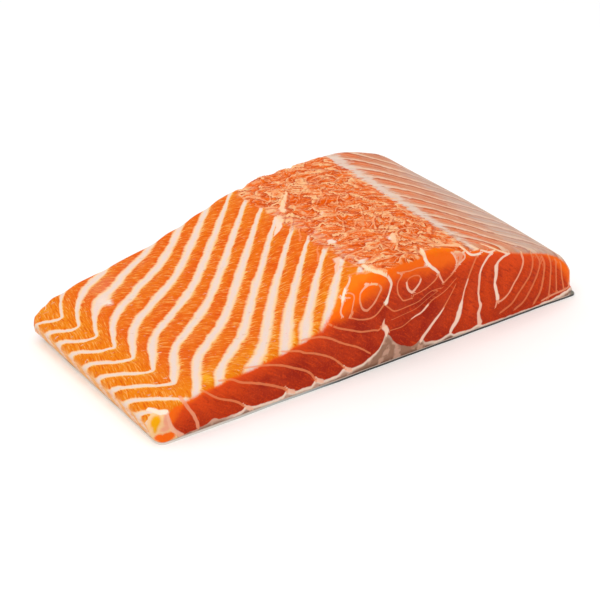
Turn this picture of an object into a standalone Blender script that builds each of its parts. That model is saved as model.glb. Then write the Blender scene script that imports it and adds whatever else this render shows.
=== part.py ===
"""Raw trout fillet portion, cut across the fish and lying on its skin.

The flesh is one block: a thin belly edge, a slope with raised muscle bands in zigzag
rows, a ridge, a rough loin where the backbone was cut away, and a rounded back.
Under it lies the skin, a thin sheet that reaches a little past the back end.
X runs from belly to back, Y along the fish away from the nearer cut, Z up.
"""

import math

import bmesh
import bpy
from mathutils import Vector, noise

MM = 0.001

# Driving dimensions of the portion.
LENGTH = 72 * MM             # along the fish, cut to cut
BELLY_X = -77.5 * MM         # belly edge, before the portion is centred
BACK_X = 74.0 * MM           # blunt back end of the flesh
SKIN_THICKNESS = 0.8 * MM
SKIN_GAP = 0.3 * MM          # between the skin and the flesh on it
SKIN_LIP = 2.6 * MM          # skin past the back end
FLESH_BASE = SKIN_THICKNESS + SKIN_GAP
NEAR_Y = -LENGTH / 2
FAR_Y = LENGTH / 2

# Heights of the flesh above the table, in mm, at landmarks across the fish:
# place across, height at the nearer cut, height at the farther cut.
SECTION = (
    (-77.5, 7.2, 8.6),       # belly edge
    (-70.0, 12.0, 13.0),     # belly shoulder
    (-56.0, 14.2, 16.8),     # belly wall
    (-40.0, 16.0, 20.3),
    (-24.0, 19.8, 25.4),     # foot of the ridge
    (-8.0, 29.8, 30.8),      # ridge, where the ribs were cut away
    (8.0, 32.2, 33.6),       # loin
    (32.0, 29.0, 35.0),      # pale line along the backbone
    (50.0, 23.0, 31.2),      # back
    (63.0, 19.0, 22.8),
    (70.0, 14.6, 15.8),      # back shoulder
    (74.0, 9.4, 9.8),        # back end
)
BACK_FULLNESS = 1.2 * MM     # the back stands fuller halfway between the cuts
BACK_FULLEST_X = 64 * MM
BACK_FULL_SPREAD = 10 * MM

# Which boundary between two muscle bands passes each place across the belly slope: place
# in mm, then the boundary's number at the nearer cut, in the middle and at the farther cut.
BELLY_BANDS = (
    (-77.5, 10.4, 5.4, 0.25),
    (-75.5, 9.7, 4.82, -0.15),
    (-73.8, 9.15, 4.42, -0.45),
    (-72.0, 8.5, 4.08, 0.0),
    (-70.5, 8.25, 3.88, 0.3),
    (-68.7, 8.03, 3.86, 0.6),
    (-67.5, 7.88, 4.08, 0.75),
    (-66.3, 7.75, 4.4, 0.9),
    (-65.0, 7.82, 4.65, 1.12),
    (-61.0, 8.22, 5.25, 1.2),
    (-54.0, 9.2, 5.7, 1.5),
    (-40.0, 10.5, 6.7, 2.6),
    (-22.0, 12.95, 8.57, 4.25),
    (-5.0, 14.7, 10.4, 6.05),
)
BAND_SWELL = 0.5 * MM        # how far a muscle band stands above its boundaries
BAND_FADE = 4 * MM           # the bands fade out over this width before the ridge

RIDGE_X = -8 * MM
ROUGH_START_X = -10 * MM     # the rough loin runs from the ridge to the pale line
ROUGH_END_X = 29 * MM
ROUGH_START_FADE = 6 * MM
ROUGH_END_FADE = 5 * MM
FLAKE_LENGTH = 8.0 * MM
FLAKE_WIDTH = 4.5 * MM
CREST_HEIGHT = 0.9 * MM      # sharp edges of the flakes
FOLD_HEIGHT = 1.2 * MM       # wider folds that the flakes lie on
FOLD_SIZE = 2.0              # in flakes
FLAKE_SINK = 0.45 * MM       # the rough loin lies lower than the smooth flesh
FOLD_SEED = Vector((7.0, 3.0, 0.0))
CUT_WAVE = 0.4 * MM          # unevenness of the two cut faces
CUT_WAVE_LENGTH = 11 * MM
EDGE_RADIUS = 1.8 * MM       # upper edges of the portion
RIDGE_EDGE_RADIUS = 8 * MM   # the nearer cut is rounded off below the ridge
RIDGE_EDGE_X = -11 * MM
RIDGE_EDGE_SPREAD = 9 * MM
BELLY_CORNER_RADIUS = 2.6 * MM
BACK_CORNER_RADIUS = 1.2 * MM
BELLY_LEAN = 2.8 * MM        # the belly edge is cut back towards the skin
NEAR_LEAN_SHARE = 0.45       # and less so at the nearer cut
BACK_SWELL = 0.6 * MM        # the back end is round
BACK_FOOT = 1.8 * MM         # thin flesh that runs out on the skin at the back end
FOOT_LEVEL = 0.1             # where the foot is longest, as a share of the height there
FOOT_SPREAD = 0.2

COLUMNS = 92                 # mesh steps across
ROWS = 42                    # mesh steps along
LEVELS = 4                   # mesh steps up each side
CROWDING = 0.5               # how much closer the steps lie towards the edges
SKIN_COLUMNS = 26
SKIN_ROWS = 14
SKIN_WAVE = 0.35 * MM        # unevenness of the skin's outline
SHARP_ANGLE = math.radians(40)
FLAT_TOLERANCE = 1e-6        # in steps of the unit box that a piece is shaped from


def clear_scene():
    for old in list(bpy.data.objects):
        bpy.data.objects.remove(old, do_unlink=True)


def clamp(value, low, high):
    return max(low, min(high, value))


def smooth_step(low, high, value):
    t = clamp((value - low) / (high - low), 0.0, 1.0)
    return t * t * (3 - 2 * t)


def bell(value, centre, spread):
    return math.exp(-((value - centre) / spread) ** 2)


def knot_slopes(xs, ys):
    """Slopes at the knots that keep a cubic through them free of overshoot."""
    steps = [(ys[i + 1] - ys[i]) / (xs[i + 1] - xs[i]) for i in range(len(xs) - 1)]
    inner = [0.0 if a * b <= 0 else 2 * a * b / (a + b) for a, b in zip(steps, steps[1:])]
    return [steps[0]] + inner + [steps[-1]]


def curve_through(table, column, unit):
    """A smooth curve over the places, in mm, of a table's first column."""
    xs = [row[0] * MM for row in table]
    ys = [row[column] * unit for row in table]
    slopes = knot_slopes(xs, ys)

    def value(x):
        x = clamp(x, xs[0], xs[-1])
        i = max(k for k in range(len(xs) - 1) if xs[k] <= x)
        width = xs[i + 1] - xs[i]
        t = (x - xs[i]) / width
        return (
            (1 + 2 * t) * (1 - t) ** 2 * ys[i]
            + t * (1 - t) ** 2 * width * slopes[i]
            + t * t * (3 - 2 * t) * ys[i + 1]
            + t * t * (t - 1) * width * slopes[i + 1]
        )

    return value


near_height, far_height = (curve_through(SECTION, column, MM) for column in (1, 2))
near_band, middle_band, far_band = (curve_through(BELLY_BANDS, column, 1) for column in (1, 2, 3))


def band_number(x, y):
    """Counts the muscle boundaries over the belly slope, through their number at three places."""
    t = y / FAR_Y
    near, middle, far = near_band(x), middle_band(x), far_band(x)
    return middle + t * (far - near) / 2 + t * t * (far + near - 2 * middle) / 2


def edge_drop(distance, radius):
    """How far a rounded edge falls at a distance inside the outline."""
    inside = clamp(radius - distance, 0.0, radius)
    return radius - math.sqrt(radius * radius - inside * inside)


def flake_relief(x, y):
    """Torn flakes of the rough loin, longer along the fish than across."""
    place = Vector((x / FLAKE_WIDTH, y / FLAKE_LENGTH, 0.0))
    fold = noise.noise(place / FOLD_SIZE + FOLD_SEED)
    crest = 1 - 2 * abs(noise.noise(place + Vector((fold, fold, 0.0))))
    return CREST_HEIGHT * crest + FOLD_HEIGHT * fold - FLAKE_SINK


def cut_inset(past_belly, before_back):
    """How far a cut face turns in where it rounds a corner of the portion."""
    belly_corner = edge_drop(past_belly, BELLY_CORNER_RADIUS)
    return belly_corner + edge_drop(before_back, BACK_CORNER_RADIUS)


def belly_lean(along):
    return BELLY_LEAN * (NEAR_LEAN_SHARE + (1 - NEAR_LEAN_SHARE) * along)


def top_height(x, y):
    """Height of the upper surface above the table."""
    along = (y - NEAR_Y) / LENGTH
    height = near_height(x) * (1 - along) + far_height(x) * along
    height += BACK_FULLNESS * bell(x, BACK_FULLEST_X, BACK_FULL_SPREAD) * 4 * along * (1 - along)
    on_slope = 1 - smooth_step(RIDGE_X - BAND_FADE, RIDGE_X, x)
    height -= BAND_SWELL * on_slope * (0.5 + 0.5 * math.cos(2 * math.pi * band_number(x, y)))
    rough = smooth_step(ROUGH_START_X, ROUGH_START_X + ROUGH_START_FADE, x)
    rough *= 1 - smooth_step(ROUGH_END_X - ROUGH_END_FADE, ROUGH_END_X, x)
    height += rough * flake_relief(x, y)
    ridge_share = bell(x, RIDGE_EDGE_X, RIDGE_EDGE_SPREAD)
    near_radius = EDGE_RADIUS + (RIDGE_EDGE_RADIUS - EDGE_RADIUS) * ridge_share
    inset = cut_inset(x - BELLY_X, BACK_X - x)
    height -= edge_drop(y - NEAR_Y - inset, near_radius)
    height -= edge_drop(FAR_Y - y - inset, EDGE_RADIUS)
    height -= edge_drop(x - BELLY_X, EDGE_RADIUS)
    return height


def crowded(fraction):
    """Moves evenly spaced steps from 0 to 1 towards both ends."""
    return fraction - CROWDING * math.sin(2 * math.pi * fraction) / (2 * math.pi)


def flesh_point(across, along, level):
    """Places one point of the flesh, given as fractions of its box."""
    x = BELLY_X + (BACK_X - BELLY_X) * crowded(across)
    inset = cut_inset(x - BELLY_X, BACK_X - x)
    y = NEAR_Y + inset + (LENGTH - 2 * inset) * crowded(along)
    z = FLESH_BASE + (top_height(x, y) - FLESH_BASE) * level
    if across == 0:
        x += belly_lean(along) * (1 - level)
    if across == 1:
        x += BACK_SWELL * math.sin(math.pi * level)
        x += BACK_FOOT * bell(level, FOOT_LEVEL, FOOT_SPREAD)
    if along in (0, 1):
        wave = noise.noise(Vector((x, along, z)) / CUT_WAVE_LENGTH)
        y += CUT_WAVE * wave * math.sin(math.pi * level)
    return Vector((x, y, z))


def skin_point(across, along, level):
    """Places one point of the skin, given as fractions of its box."""
    start = BELLY_X + belly_lean(along)
    end = BACK_X + SKIN_LIP
    x = start + (end - start) * crowded(across)
    inset = cut_inset(x - start, end - x)
    y = NEAR_Y + inset + (LENGTH - 2 * inset) * along
    wave = noise.noise(Vector((x, y, 0.0)) / CUT_WAVE_LENGTH)
    if across in (0, 1):
        x += SKIN_WAVE * wave
    if along in (0, 1):
        y += SKIN_WAVE * wave
    return Vector((x, y, SKIN_THICKNESS * level))


def sliced_box(columns, rows, levels):
    """A unit box, sliced into even steps along its three sides."""
    mesh = bmesh.new()
    bmesh.ops.create_cube(mesh, size=1)
    bmesh.ops.translate(mesh, verts=mesh.verts, vec=(0.5, 0.5, 0.5))
    for axis, steps in enumerate((columns, rows, levels)):
        for step in range(1, steps):
            point = [0.0, 0.0, 0.0]
            point[axis] = step / steps
            normal = [0.0, 0.0, 0.0]
            normal[axis] = 1.0
            bmesh.ops.bisect_plane(
                mesh,
                geom=mesh.verts[:] + mesh.edges[:] + mesh.faces[:],
                dist=FLAT_TOLERANCE,
                plane_co=point,
                plane_no=normal,
            )
    return mesh


def shaped_piece(name, steps, place, material, collection, flat_faces):
    """Slices a box, moves its points into place and makes it a named object."""
    mesh = sliced_box(*steps)
    flat = [f for f in mesh.faces if flat_faces(f.calc_center_median())]
    bmesh.ops.dissolve_faces(mesh, faces=flat)
    for vertex in mesh.verts:
        vertex.co = place(*(round(value, 6) for value in vertex.co))
    bmesh.ops.triangulate(mesh, faces=mesh.faces[:])
    bmesh.ops.recalc_face_normals(mesh, faces=mesh.faces[:])
    data = bpy.data.meshes.new(name)
    mesh.to_mesh(data)
    mesh.free()
    data.shade_smooth()
    data.set_sharp_from_angle(angle=SHARP_ANGLE)
    data.materials.append(material)
    piece = bpy.data.objects.new(name, data)
    collection.objects.link(piece)
    return piece


def food_material(name, color, roughness):
    material = bpy.data.materials.new(name)
    material.use_nodes = True
    shader = material.node_tree.nodes["Principled BSDF"]
    shader.inputs["Base Color"].default_value = (*color, 1.0)
    shader.inputs["Roughness"].default_value = roughness
    shader.inputs["Metallic"].default_value = 0.0
    return material


def centre_on_table(pieces):
    """Moves the pieces so that the portion stands on the origin, its box centred."""
    points = [vertex.co for piece in pieces for vertex in piece.data.vertices]
    shift = Vector((0.0, 0.0, 0.0))
    for axis in range(2):
        values = [point[axis] for point in points]
        shift[axis] = -(min(values) + max(values)) / 2
    for piece in pieces:
        for vertex in piece.data.vertices:
            vertex.co += shift


clear_scene()
fillet = bpy.data.collections.new("trout_fillet")
bpy.context.scene.collection.children.link(fillet)

flesh = shaped_piece(
    "flesh",
    (COLUMNS, ROWS, LEVELS),
    flesh_point,
    food_material("raw_trout_flesh", (0.78, 0.16, 0.03), 0.35),
    fillet,
    lambda centre: centre.z < FLAT_TOLERANCE,
)
skin = shaped_piece(
    "skin",
    (SKIN_COLUMNS, SKIN_ROWS, 1),
    skin_point,
    food_material("trout_skin", (0.33, 0.35, 0.35), 0.3),
    fillet,
    lambda centre: min(centre.z, 1 - centre.z) < FLAT_TOLERANCE,
)
centre_on_table((flesh, skin))
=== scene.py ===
import math

import bpy
import numpy as np
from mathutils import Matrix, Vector, noise


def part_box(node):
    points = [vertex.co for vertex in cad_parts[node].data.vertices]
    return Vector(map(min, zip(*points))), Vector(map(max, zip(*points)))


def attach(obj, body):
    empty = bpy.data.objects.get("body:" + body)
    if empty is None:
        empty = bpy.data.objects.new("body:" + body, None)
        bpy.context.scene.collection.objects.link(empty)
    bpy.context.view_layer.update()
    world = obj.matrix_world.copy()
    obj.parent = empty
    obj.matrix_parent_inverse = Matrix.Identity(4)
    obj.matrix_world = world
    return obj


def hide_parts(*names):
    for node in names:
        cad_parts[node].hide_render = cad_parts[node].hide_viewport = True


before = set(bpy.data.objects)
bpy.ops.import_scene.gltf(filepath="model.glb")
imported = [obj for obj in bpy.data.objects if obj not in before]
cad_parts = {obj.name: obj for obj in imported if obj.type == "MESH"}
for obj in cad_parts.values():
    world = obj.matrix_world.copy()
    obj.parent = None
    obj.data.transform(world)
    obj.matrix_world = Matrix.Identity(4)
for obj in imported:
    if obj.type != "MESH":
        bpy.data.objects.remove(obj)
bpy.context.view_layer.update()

# ---------------------------------------------------------------------------
# Skin. Trout skin is a tough sheet under a millimetre thick, set with small
# scales. The portion lies on it, with the scaled outside down. It was cut
# through with the flesh, so its edge shows as a thin grey line.
# ---------------------------------------------------------------------------

MM = 0.001
SKIN_NODE = "skin"
FLESH_NODE = "flesh"

skin_low, skin_high = (np.array(corner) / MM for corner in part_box(SKIN_NODE))
flesh_low = np.array(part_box(FLESH_NODE)[0]) / MM

# All sizes and places on the fish are in mm, and x is counted from the middle of
# the ridge's foot: BELLY_X is where the belly edge then lies.
BELLY_X = -77.5
BACK_X = 74.0
LENGTH = 72.0
NEAR_Y = -LENGTH / 2
FAR_Y = LENGTH / 2
SHIFT_X = flesh_low[0] - BELLY_X
BELLY_LEAN = 2.8
LEAN_REACH = 12.0
NEAR_LEAN_SHARE = 0.45
SKIN_LIP = 2.6
SKIN_THICKNESS = skin_high[2] - skin_low[2]
BELLY_CORNER_RADIUS = 2.6
BACK_CORNER_RADIUS = 1.2
OUTLINE_WAVE = 0.3
WAVE_LENGTH = 11.0
SKIN_STEPS = (300, 144, 2)
SCALE_LENGTH = 1.6
SCALE_WIDTH = 1.3
SCALE_DEPTH = 0.07
BLOTCH_SIZE = 9.0
BLOTCH_REACH = 34.0
SPOT_SPACING = 7.0
PALE_UP_TO = -66.0           # the belly's pale skin, the grey flank and the dark back
FLANK_AT = 13.0
DARK_FROM = 78.0

SKIN_BELLY = "#E0D8CE"
SKIN_FLANK = "#8E9A9B"
SKIN_BACK = "#4A5450"
SKIN_SPOT = "#23282A"
SKIN_INSIDE = "#C9B3A4"
SKIN_EDGE = "#16110E"
SKIN_BARE = "#65614F"


def linear(hex_colour):
    """An sRGB hex colour as a linear RGBA value."""
    parts = [int(hex_colour[i:i + 2], 16) / 255 for i in (1, 3, 5)]
    return [p / 12.92 if p <= 0.04045 else ((p + 0.055) / 1.055) ** 2.4 for p in parts] + [1.0]


def add(tree, kind, output, sockets, **settings):
    """Adds one node, with its settings and links, and gives back one of its outputs."""
    made = tree.nodes.new("ShaderNode" + kind)
    for name, value in settings.items():
        setattr(made, name, value)
    for key, value in sockets.items():
        if isinstance(value, bpy.types.NodeSocket):
            tree.links.new(value, made.inputs[key])
        else:
            made.inputs[key].default_value = linear(value) if isinstance(value, str) else value
    return made.outputs[output] if made.outputs else None


def paint(tree, under, *coats):
    """Lays coats of colour one on another, each softly as its value passes from low to high."""
    for colour, value, low, high, most in coats:
        share = add(tree, "MapRange", 0, {0: value, 1: low, 2: high, 3: 0.0, 4: most},
                    interpolation_type="SMOOTHSTEP")
        under = add(tree, "Mix", 2, {0: share, 6: under, 7: colour}, data_type="RGBA")
    return under


def smooth_step(low, high, value):
    """Rises softly from 0 to 1 as the value passes from low to high."""
    t = np.clip((value - low) / (high - low), 0.0, 1.0)
    return t * t * (3 - 2 * t)


def bell(value, centre, spread):
    """Is 1 at the centre and falls off softly to both sides."""
    return np.exp(-((value - centre) / spread) ** 2)


def edge_drop(distance, radius):
    """How far a rounded edge falls at a distance inside the outline."""
    inside = np.clip(radius - distance, 0.0, radius)
    return radius - np.sqrt(radius * radius - inside * inside)


def cut_inset(past_belly, before_back):
    """How far a cut face turns in where it rounds a corner of the portion."""
    belly_corner = edge_drop(past_belly, BELLY_CORNER_RADIUS)
    return belly_corner + edge_drop(before_back, BACK_CORNER_RADIUS)


def belly_lean(along):
    """How far the foot of the belly side stands in under its edge."""
    return BELLY_LEAN * (NEAR_LEAN_SHARE + (1 - NEAR_LEAN_SHARE) * along)


def noise_at(points, size, offset):
    """Smooth noise from about -1 to 1 at each point, with lumps of the given size."""
    shifted = np.asarray(points) / size + offset
    return np.array([noise.noise(Vector(point)) for point in shifted])


def box_shell(steps, flat_level):
    """The sliced surface of a unit box; the side at flat_level is one flat face."""
    columns, rows, levels = steps
    sliced_level = levels if flat_level == 0 else 0
    shell = np.zeros((columns + 1, rows + 1, levels + 1), bool)
    shell[[0, -1], :, :] = True
    shell[:, [0, -1], :] = True
    shell[:, :, sliced_level] = True
    number = np.full(shell.shape, -1)
    number[shell] = np.arange(shell.sum())
    sides = (
        (number[:, :, sliced_level], flat_level == 0),
        (number[:, 0, :], True),
        (number[:, -1, :], False),
        (number[0, :, :], False),
        (number[-1, :, :], True),
    )
    faces = []
    for grid, faces_out in sides:
        corners = (grid[:-1, :-1], grid[1:, :-1], grid[1:, 1:], grid[:-1, 1:])
        quads = np.stack(corners, axis=-1).reshape(-1, 4)
        faces += (quads if faces_out else quads[:, ::-1]).tolist()
    edge = number[:, :, flat_level * levels]
    rim = [*edge[:-1, 0], *edge[-1, :-1], *edge[:0:-1, -1], *edge[0, :0:-1]]
    faces.append([int(i) for i in (rim if flat_level else rim[::-1])])
    return np.argwhere(shell) / steps, faces


def solid_piece(name, points, faces, sharp_angle):
    """A smooth-shaded mesh object from points in mm."""
    data = bpy.data.meshes.new(name)
    data.from_pydata(points * MM, [], faces)
    data.shade_smooth()
    data.set_sharp_from_angle(angle=math.radians(sharp_angle))
    piece = bpy.data.objects.new(name, data)
    bpy.context.scene.collection.objects.link(piece)
    return piece


def store(piece, name, values):
    """Keeps one number or one vector a vertex on the mesh, for its material."""
    kind, field = ("FLOAT_VECTOR", "vector") if values.ndim == 2 else ("FLOAT", "value")
    layer = piece.data.attributes.new(name, kind, "POINT")
    layer.data.foreach_set(field, values.astype(np.float32).ravel())


def scale_relief(x, y):
    """Overlapping scales in staggered rows: each rises from its root to its free edge."""
    row = np.floor(y / (SCALE_LENGTH / 2))
    highest = np.zeros_like(x)
    for back in (0, 1, 2):
        row_shift = np.where((row - back) % 2 == 0, 0.0, 0.5)
        column = np.floor(x / SCALE_WIDTH - row_shift) + 0.5 + row_shift
        u = (x / SCALE_WIDTH - column) * 2
        v = y / (SCALE_LENGTH / 2) - (row - back)
        reach = v + 0.9 * u * u
        inside = (reach < 2.0) & (reach > 0)
        highest = np.maximum(highest, np.where(inside, reach / 2, 0.0))
    return SCALE_DEPTH * highest


fractions, skin_faces = box_shell(SKIN_STEPS, 1)
across, along, level = fractions.T
start_x = BELLY_X + belly_lean(along)
end_x = BACK_X + SKIN_LIP
x = start_x + (end_x - start_x) * across
inset = cut_inset(x - start_x, end_x - x)
y = NEAR_Y + inset + (LENGTH - 2 * inset) * along
wave = noise_at(np.stack([x, y, 0 * x], axis=1), WAVE_LENGTH, (0.0, 0.0, 0.0))
x = x + np.where((across == 0) | (across == 1), OUTLINE_WAVE * wave, 0.0)
y = y + np.where((along == 0) | (along == 1), OUTLINE_WAVE * wave, 0.0)
z = SKIN_THICKNESS * level
inner = (across > 0) & (across < 1) & (along > 0) & (along < 1) & (level == 0)
z = np.where(inner, SCALE_DEPTH - scale_relief(x, y), z)
on_edge = (across == 0) | (across == 1) | (along == 0) | (along == 1)
skin_place = np.stack([x, y, z], axis=1)
skin = solid_piece("trout_skin", skin_place + (SHIFT_X, 0, 0), skin_faces, 50)
store(skin, "place", skin_place)
store(skin, "cut_edge", on_edge * smooth_step(-40.0, -5.0, x))
store(skin, "lip", smooth_step(BACK_X - 1.0, BACK_X + 0.5, x))

silvered_skin = bpy.data.materials.new("silvered_trout_skin")
silvered_skin.use_nodes = True
tree = silvered_skin.node_tree
tree.nodes.clear()
# Silvery guanine under a clear slime: pale at the belly, dark and spotted at the back.
place = add(tree, "Attribute", "Vector", {}, attribute_name="place")
cut_edge = add(tree, "Attribute", "Fac", {}, attribute_name="cut_edge")
lip = add(tree, "Attribute", "Fac", {}, attribute_name="lip")
blotch = add(tree, "TexNoise", "Fac", {"Vector": place, "Scale": 1 / BLOTCH_SIZE, "Detail": 3.0})
spots = add(tree, "TexVoronoi", "Distance", {"Vector": place, "Scale": 1 / SPOT_SPACING})
towards_back = add(tree, "SeparateXYZ", "X", {0: place})
up = add(tree, "SeparateXYZ", "Z", {0: place})
girth = add(tree, "Math", 0, {0: blotch, 1: BLOTCH_REACH, 2: towards_back}, operation="MULTIPLY_ADD")
scaled = paint(
    tree, SKIN_BELLY,
    (SKIN_FLANK, girth, PALE_UP_TO, FLANK_AT, 1.0),
    (SKIN_BACK, girth, FLANK_AT, DARK_FROM, 1.0),
)
spotted = paint(tree, scaled, (SKIN_SPOT, spots, 0.24, 0.16, 1.0))
outside = paint(
    tree, scaled,
    (spotted, girth, -20.0, 60.0, 1.0),
    (SKIN_EDGE, cut_edge, 0.2, 0.9, 1.0),
)
inside = paint(tree, SKIN_INSIDE, (SKIN_BARE, lip, 0.2, 0.9, 1.0))
skin_colour = paint(tree, outside, (inside, up, 0.5, 0.75, 1.0))
shader = add(tree, "BsdfPrincipled", 0, {
    "Base Color": skin_colour, "Roughness": 0.32, "Coat Weight": 0.4, "Coat Roughness": 0.15,
})
add(tree, "OutputMaterial", None, {"Surface": shader})
skin.data.materials.append(silvered_skin)

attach(skin, "root")
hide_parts(SKIN_NODE)

# ---------------------------------------------------------------------------
# Flesh. The side muscle of the trout in one block, cut with a knife on four
# sides. Sheets of white tissue part it into bands along the fish: they show as
# a zigzag on the belly slope and as rings and slanting lines on the cuts.
# ---------------------------------------------------------------------------

FLESH_GAP = 0.05
FLESH_BASE = SKIN_THICKNESS + FLESH_GAP
FLESH_STEPS = (326, 140, 52)
SECTION = (                  # place across, height at the nearer and the farther cut
    (-77.5, 7.2, 8.6),
    (-70.0, 12.0, 13.0),
    (-56.0, 14.2, 16.8),
    (-40.0, 16.0, 20.3),
    (-24.0, 19.8, 25.4),
    (-8.0, 29.8, 30.8),
    (8.0, 32.2, 33.6),
    (32.0, 29.0, 35.0),
    (50.0, 23.0, 31.2),
    (63.0, 19.0, 22.8),
    (70.0, 14.6, 15.8),
    (74.0, 9.4, 9.8),
)
BACK_FULLNESS = 1.2
BACK_FULLEST_X = 64.0
BACK_FULL_SPREAD = 10.0
RIDGE_X = -8.0
ROUGH_END_X = 29.0
EDGE_RADIUS = 1.8
RIDGE_EDGE_RADIUS = 8.0
RIDGE_EDGE_X = -11.0
RIDGE_EDGE_SPREAD = 9.0
BACK_SWELL = 0.6
BACK_FOOT = 1.8
BAND_SWELL = 0.5
CUT_WAVE = 0.4

# Which muscle boundary passes each place across the belly slope, at the nearer cut,
# in the middle and at the farther cut. Whole numbers are boundaries, and the boundaries
# turn in a sharp tip, which lies the farther back the nearer it is to the nearer cut.
TIP_DRIFT = 0.113
BELLY_BANDS = (
    (-81.6, 10.4, 6.3, 2.6),
    (-79.0, 9.5, 5.7, 2.1),
    (-77.0, 8.95, 5.25, 1.6),
    (-75.0, 8.45, 4.82, 1.0),
    (-73.0, 8.15, 4.28, 0.4),
    (-71.5, 8.0, 4.04, -0.05),
    (-69.7, 7.9, 3.9, -0.3),
    (-68.5, 8.04, 4.1, -0.05),
    (-67.0, 8.18, 4.38, 0.27),
    (-65.0, 8.38, 4.72, 0.6),
    (-63.0, 8.58, 5.02, 0.85),
    (-60.0, 8.87, 5.35, 1.15),
    (-57.0, 9.15, 5.6, 1.5),
    (-54.0, 9.42, 5.77, 1.75),
    (-50.0, 9.77, 6.02, 2.15),
    (-40.0, 10.5, 6.7, 2.6),
    (-22.0, 12.95, 8.57, 4.25),
    (-5.0, 14.7, 10.4, 6.05),
)


def curve_through(table, column):
    """A smooth curve without overshoot through one column of a table."""
    xs = np.array([row[0] for row in table])
    ys = np.array([row[column] for row in table])
    steps = np.diff(ys) / np.diff(xs)
    before, after = steps[:-1], steps[1:]
    turning = before * after <= 0
    together = np.where(turning, 1.0, before + after)
    inner = np.where(turning, 0.0, 2 * before * after / together)
    slopes = np.concatenate([steps[:1], inner, steps[-1:]])

    def value(place):
        place = np.clip(place, xs[0], xs[-1])
        i = np.clip(np.searchsorted(xs, place, side="right") - 1, 0, len(xs) - 2)
        width = xs[i + 1] - xs[i]
        t = (place - xs[i]) / width
        return (
            (1 + 2 * t) * (1 - t) ** 2 * ys[i]
            + t * (1 - t) ** 2 * width * slopes[i]
            + t * t * (3 - 2 * t) * ys[i + 1]
            + t * t * (t - 1) * width * slopes[i + 1]
        )

    return value


near_height, far_height = (curve_through(SECTION, column) for column in (1, 2))
near_bands, middle_bands, far_bands = (curve_through(BELLY_BANDS, c) for c in (1, 2, 3))


def belly_band(x, y):
    """Counts muscle boundaries on the belly slope, through their number at three places."""
    t = y / FAR_Y
    x = x + TIP_DRIFT * y * (1 - smooth_step(-64, -52, x))
    near, middle, far = near_bands(x), middle_bands(x), far_bands(x)
    return middle + t * (far - near) / 2 + t * t * (far + near - 2 * middle) / 2


def plain_height(x, y):
    """Height of the upper surface before its bands and flakes."""
    share = (y - NEAR_Y) / LENGTH
    height = near_height(x) * (1 - share) + far_height(x) * share
    fullness = BACK_FULLNESS * bell(x, BACK_FULLEST_X, BACK_FULL_SPREAD)
    return height + fullness * 4 * share * (1 - share)


def edge_fall(x, y):
    """How far the rounded upper edges fall away."""
    ridge_share = bell(x, RIDGE_EDGE_X, RIDGE_EDGE_SPREAD)
    near_radius = EDGE_RADIUS + (RIDGE_EDGE_RADIUS - EDGE_RADIUS) * ridge_share
    inset = cut_inset(x - BELLY_X, BACK_X - x)
    return (
        edge_drop(y - NEAR_Y - inset, near_radius)
        + edge_drop(FAR_Y - y - inset, EDGE_RADIUS)
        + edge_drop(x - BELLY_X, EDGE_RADIUS)
    )


def crowded(fraction, low, high, crowding):
    """Places even steps between two ends, closer together where the crowding is high."""
    fine = np.linspace(low, high, 4001)
    total = np.cumsum(crowding(fine))
    return np.interp(fraction, (total - total[0]) / (total[-1] - total[0]), fine)


def column_crowding(x):
    """Columns stand closer on the torn loin and at both ends."""
    rough = smooth_step(RIDGE_X - 8, RIDGE_X, x) * (1 - smooth_step(32, 38, x))
    return 1 + 0.7 * rough + 1.5 * np.exp((BELLY_X - x) / 2) + 1.5 * np.exp((x - BACK_X) / 2)


def row_crowding(along):
    """Rows stand closer by both cuts."""
    return 1 + 1.2 * np.exp(-along * LENGTH / 2.5) + 0.8 * np.exp((along - 1) * LENGTH / 2.5)


fractions, flesh_faces = box_shell(FLESH_STEPS, 0)
across, along, level = fractions.T
x_top = crowded(across, BELLY_X, BACK_X, column_crowding)
inset = cut_inset(x_top - BELLY_X, BACK_X - x_top)
y_top = NEAR_Y + inset + (LENGTH - 2 * inset) * crowded(along, 0.0, 1.0, row_crowding)
on_belly_side = across == 0
on_back_end = across == 1
on_near_cut = along == 0
on_far_cut = along == 1
on_cut = on_near_cut | on_far_cut
LUMP_SIZE = 7.0
SMALL_LUMP_SIZE = 2.4
on_top = np.stack([x_top, y_top, 0 * x_top], axis=1)
lumps = noise_at(on_top, LUMP_SIZE, (5.0, 1.0, 0.0))
small_lumps = noise_at(on_top, SMALL_LUMP_SIZE, (1.0, 9.0, 0.0))

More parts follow.
